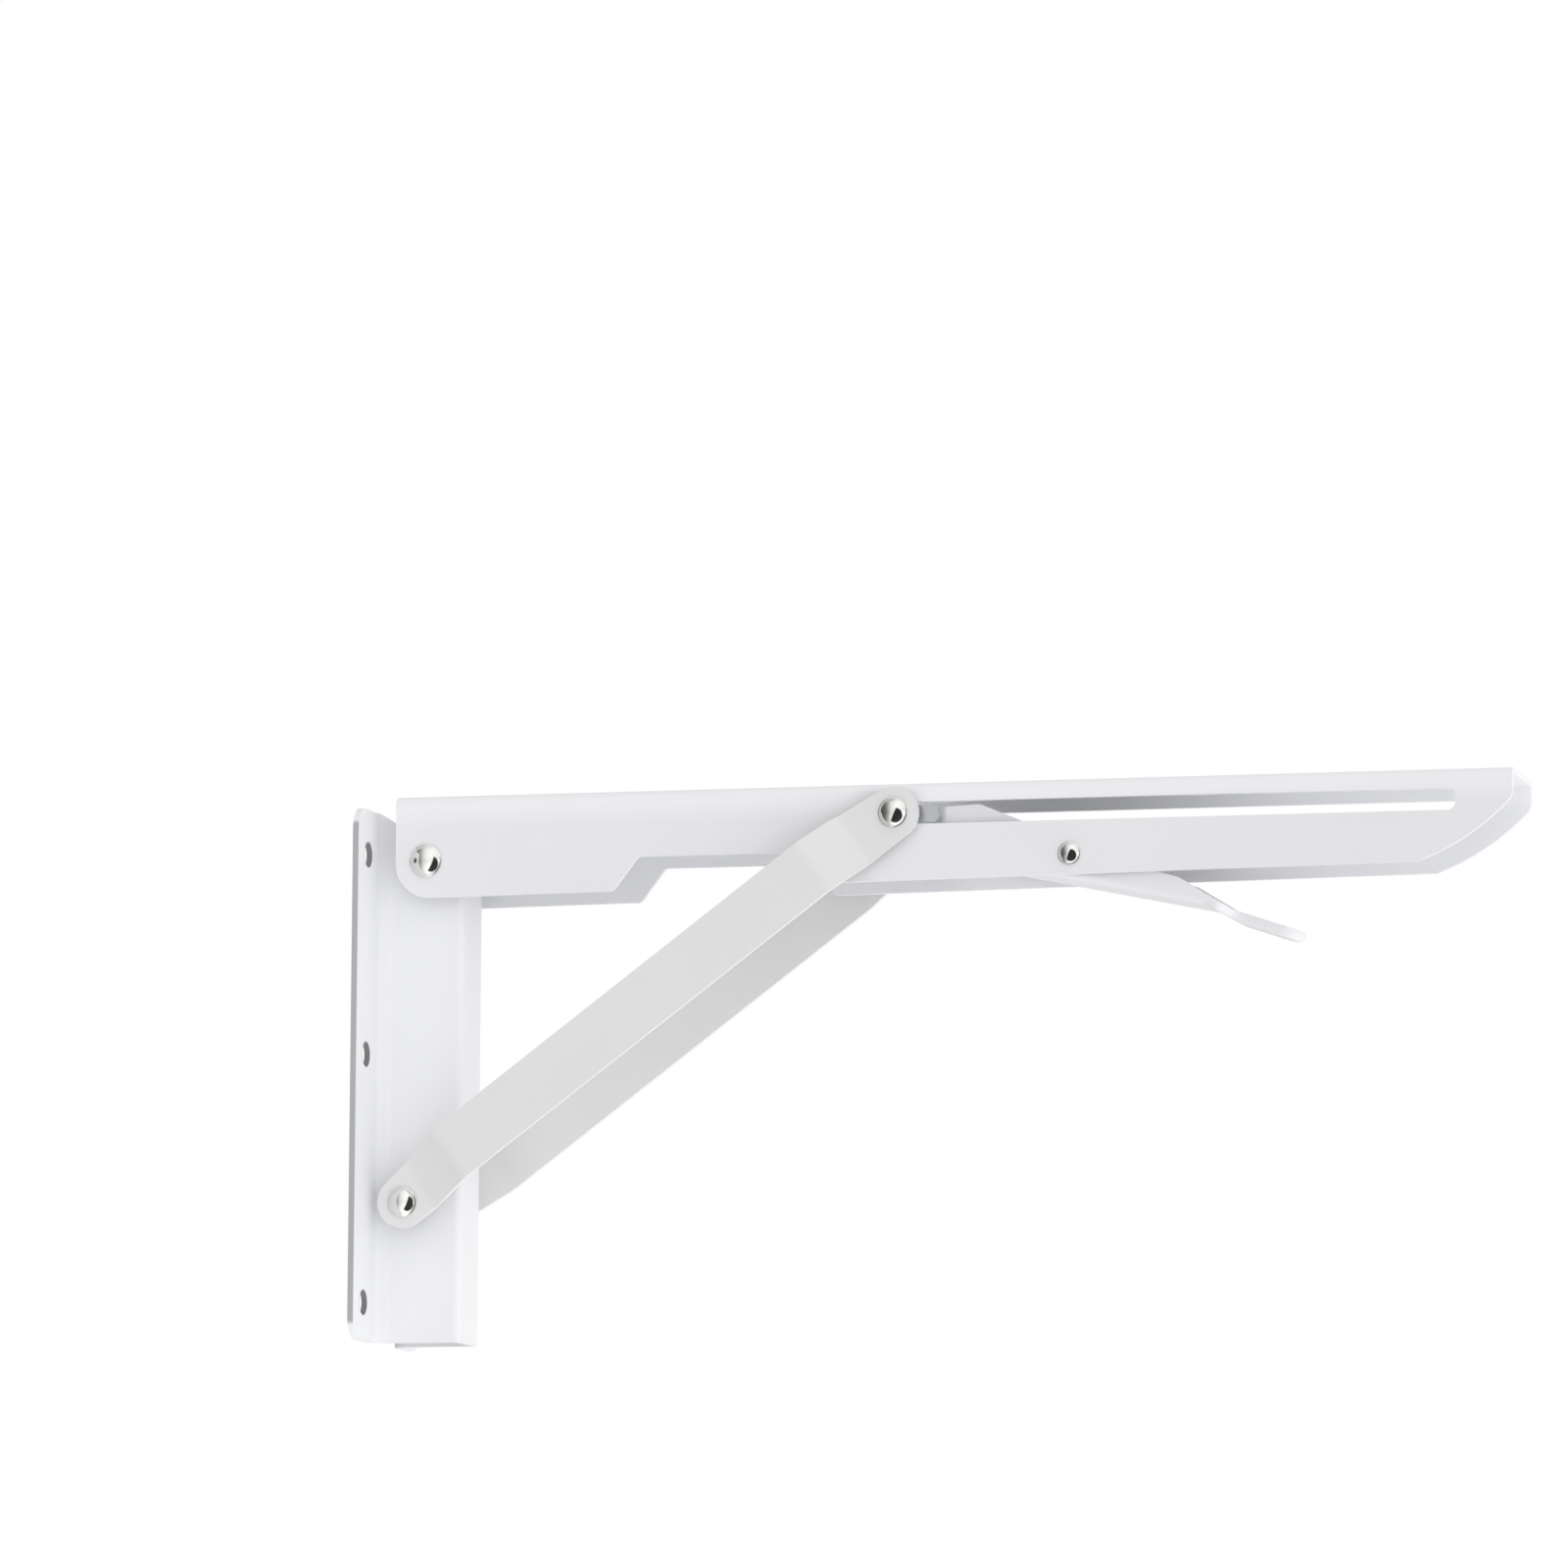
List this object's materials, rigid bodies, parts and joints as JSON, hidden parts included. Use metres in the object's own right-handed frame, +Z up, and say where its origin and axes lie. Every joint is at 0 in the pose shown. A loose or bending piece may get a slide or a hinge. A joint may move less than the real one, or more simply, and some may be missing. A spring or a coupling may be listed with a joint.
{
  "type": "folding shelf bracket",
  "caption": "Folding steel shelf bracket: a wall plate carries an arm that folds down against the wall, held level by a sliding brace and unlocked with a finger lever.",
  "frame": {"origin": "on the wall face, at the centre of the rectangle of the four outer wall screw holes", "axes": "+X out from the wall along the open arm, +Y across, +Z up"},
  "size_m": [0.307, 0.06, 0.1446],
  "materials": {
    "white_powder_coat": "white powder coat, fine orange peel, half gloss",
    "bright_rivet": "bright nickel plate",
    "zinc_steel": "dull zinc plate",
    "spring_steel": "drawn spring wire"
  },
  "bodies": {
    "wall": {"wall_plate": "white_powder_coat", "arm_pivot_rivet": "bright_rivet", "arm_pivot_spacer_near": "zinc_steel", "arm_pivot_spacer_far": "zinc_steel", "brace_pivot_rivet": "bright_rivet", "brace_pivot_spacer_near": "zinc_steel", "brace_pivot_spacer_far": "zinc_steel"},
    "arm": {"support_arm": "white_powder_coat", "lever_rivet": "bright_rivet", "lever_sleeve": "zinc_steel", "lever_spring": "spring_steel"},
    "lever": {"release_lever": "white_powder_coat"},
    "brace": {"brace_plate_near": "white_powder_coat", "brace_plate_far": "white_powder_coat", "slide_rivet_near": "bright_rivet", "slide_rivet_far": "bright_rivet"},
    "slider": {"slide_block_near": "zinc_steel", "slide_block_far": "zinc_steel", "slide_washer_near": "zinc_steel", "slide_washer_far": "zinc_steel", "slide_pin_near": "zinc_steel", "slide_pin_far": "zinc_steel"}
  },
  "joints": [
    {"name": "arm_fold", "type": "hinge", "parent": "wall", "child": "arm", "pos_m": [0.0154, 0, 0.058], "axis": [0, 1, 0], "range_deg": [0, 90]},
    {"name": "brace_fold", "type": "hinge", "parent": "wall", "child": "brace", "pos_m": [0.0104, 0, -0.0326], "axis": [0, 1, 0], "range_deg": [0, 121.91]},
    {"name": "slot_slide", "type": "slide", "parent": "arm", "child": "slider", "axis": [1, 0, 0], "range_m": [0, 0.12813]},
    {"name": "lever_release", "type": "hinge", "parent": "arm", "child": "lever", "pos_m": [0.1903, 0, 0.0557], "axis": [0, -1, 0], "range_deg": [0, 13], "stiffness_Nm_per_rad": 0.25, "springref_deg": -20.05, "deforming": ["lever_spring"]}
  ],
  "couplings": [
    {"joint": "brace_fold", "follows": "arm_fold", "ratio": 1.3544},
    {"joint": "slot_slide", "follows": "arm_fold", "m_per_rad": 0.081565}
  ]
}
